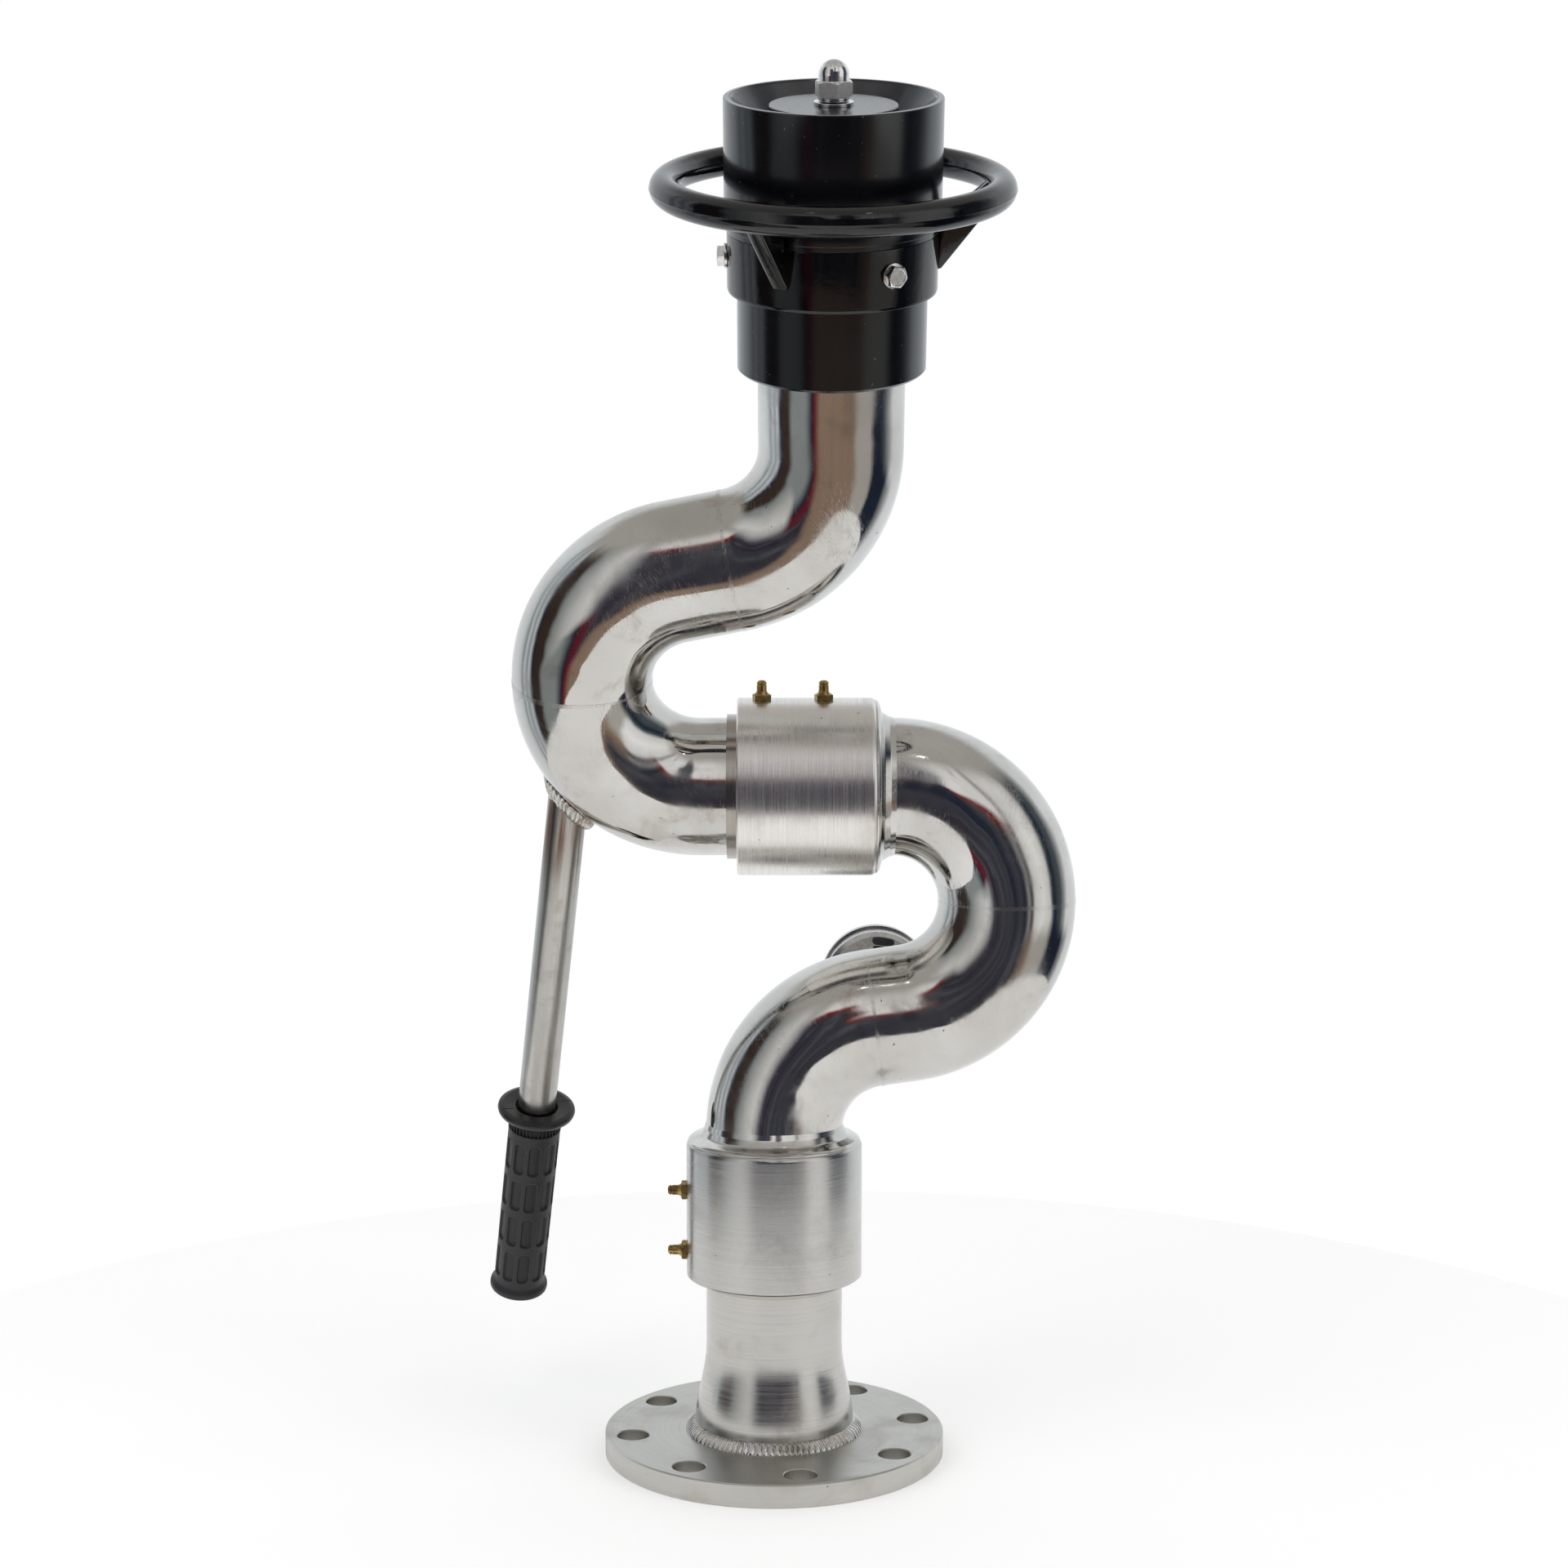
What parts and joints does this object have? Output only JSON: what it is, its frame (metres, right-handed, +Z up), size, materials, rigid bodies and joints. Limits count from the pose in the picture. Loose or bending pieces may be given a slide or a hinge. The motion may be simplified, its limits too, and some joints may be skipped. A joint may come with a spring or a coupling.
{
  "type": "manual fire water monitor",
  "caption": "Flange-mounted water monitor: two ball-race swivels joined by S-bent polished pipe, a gripped steering handle, a rear pressure gauge and a nozzle with a pattern handwheel.",
  "frame": {"origin": "centre of the inlet flange's lower face, on the base swivel axis", "axes": "+Z up along the base swivel axis; X along the elevation axis; the nozzle leans and sprays towards -Y, the operator stands on the +Y side"},
  "size_m": [0.3394, 0.329, 0.7449],
  "materials": {
    "polished_steel": "mirror-polished stainless steel pipe",
    "brushed_steel": "fine circumferential brushing on stainless steel",
    "turned_steel": "fine turned stainless steel, satin rim",
    "weld_bead": "rippled TIG weld, faint heat tint",
    "anodised_black": "black anodised aluminium, satin",
    "gloss_black": "glossy black moulded plastic",
    "grip_rubber": "matte dark grey rubber with moulded recesses",
    "seal_rubber": "smooth black seal rubber",
    "brass": "machined brass, slightly dull",
    "fastener_steel": "bright stainless fastener",
    "ball_steel": "polished bearing ball",
    "case_steel": "satin pressed stainless steel",
    "dial_white": "matte white printed dial",
    "needle_black": "black painted pointer",
    "gauge_glass": "clear flat glass",
    "nylon": "natural nylon"
  },
  "bodies": {
    "base": {"flange": "turned_steel", "base_reducer": "polished_steel", "flange_weld": "weld_bead", "base_race": "polished_steel", "base_seal": "seal_rubber"},
    "base_bearing": {"base_balls": "ball_steel"},
    "turret": {"base_sleeve": "brushed_steel", "base_grease_nipples": "brass", "base_ball_plugs": "fastener_steel", "lower_elbow_inlet": "polished_steel", "lower_elbow_middle": "polished_steel", "lower_elbow_outlet": "polished_steel", "lower_seam_welds": "polished_steel", "gauge_boss": "brushed_steel", "gauge_stem": "brass", "gauge_case": "case_steel", "gauge_bezel": "case_steel", "gauge_dial": "dial_white", "gauge_glass": "gauge_glass", "bourdon_tube": "brass", "gauge_vent_plug": "seal_rubber", "elevation_sleeve": "brushed_steel", "elevation_grease_nipples": "brass", "elevation_ball_plugs": "fastener_steel"},
    "gauge_pointer": {"gauge_needle": "needle_black"},
    "elevation_bearing": {"elevation_balls": "ball_steel"},
    "cradle": {"elevation_race": "brushed_steel", "elevation_seal": "seal_rubber", "upper_elbow_inlet": "polished_steel", "upper_elbow_middle": "polished_steel", "upper_elbow_outlet": "polished_steel", "upper_seam_welds": "polished_steel", "handle_tube": "brushed_steel", "handle_weld": "weld_bead", "handle_grip": "grip_rubber", "nozzle_body": "anodised_black", "nozzle_spider": "brushed_steel", "nozzle_stem": "fastener_steel", "baffle_disc": "anodised_black", "flat_washer": "fastener_steel", "spring_washer": "fastener_steel", "acorn_nut": "fastener_steel"},
    "pattern_slide": {"glide_ring": "nylon"},
    "pattern_wheel": {"pattern_sleeve": "anodised_black", "handwheel": "gloss_black", "hub_bolts": "fastener_steel", "hub_washers": "fastener_steel"}
  },
  "joints": [
    {"name": "base_swivel", "type": "hinge", "parent": "base", "child": "turret", "pos_m": [0, 0, 0.1315], "axis": [0, 0, 1], "continuous": true},
    {"name": "base_ball_roll", "type": "hinge", "parent": "base", "child": "base_bearing", "pos_m": [0, 0, 0.1315], "axis": [0, 0, 1], "continuous": true},
    {"name": "elevation", "type": "hinge", "parent": "turret", "child": "cradle", "pos_m": [0.0103, 0, 0.37503], "axis": [1, 0, 0], "range_deg": [0, 100]},
    {"name": "elevation_ball_roll", "type": "hinge", "parent": "turret", "child": "elevation_bearing", "pos_m": [0.0103, 0, 0.37503], "axis": [1, 0, 0], "range_deg": [0, 46]},
    {"name": "gauge_reading", "type": "hinge", "parent": "turret", "child": "gauge_pointer", "pos_m": [0.06, 0.093, 0.2525], "axis": [0, -1, 0], "range_deg": [0, 270]},
    {"name": "pattern_travel", "type": "slide", "parent": "cradle", "child": "pattern_slide", "axis": [0, -0.342, 0.9397], "range_m": [-0.025, 0]},
    {"name": "pattern_turn", "type": "hinge", "parent": "pattern_slide", "child": "pattern_wheel", "pos_m": [0.03, -0.11629, 0.69453], "axis": [0, -0.342, 0.9397], "range_deg": [0, 300]}
  ],
  "couplings": [
    {"joint": "base_ball_roll", "follows": "base_swivel", "ratio": 0.5482},
    {"joint": "elevation_ball_roll", "follows": "elevation", "ratio": 0.4518},
    {"joint": "pattern_travel", "follows": "pattern_turn", "m_per_rad": -0.0047742}
  ]
}
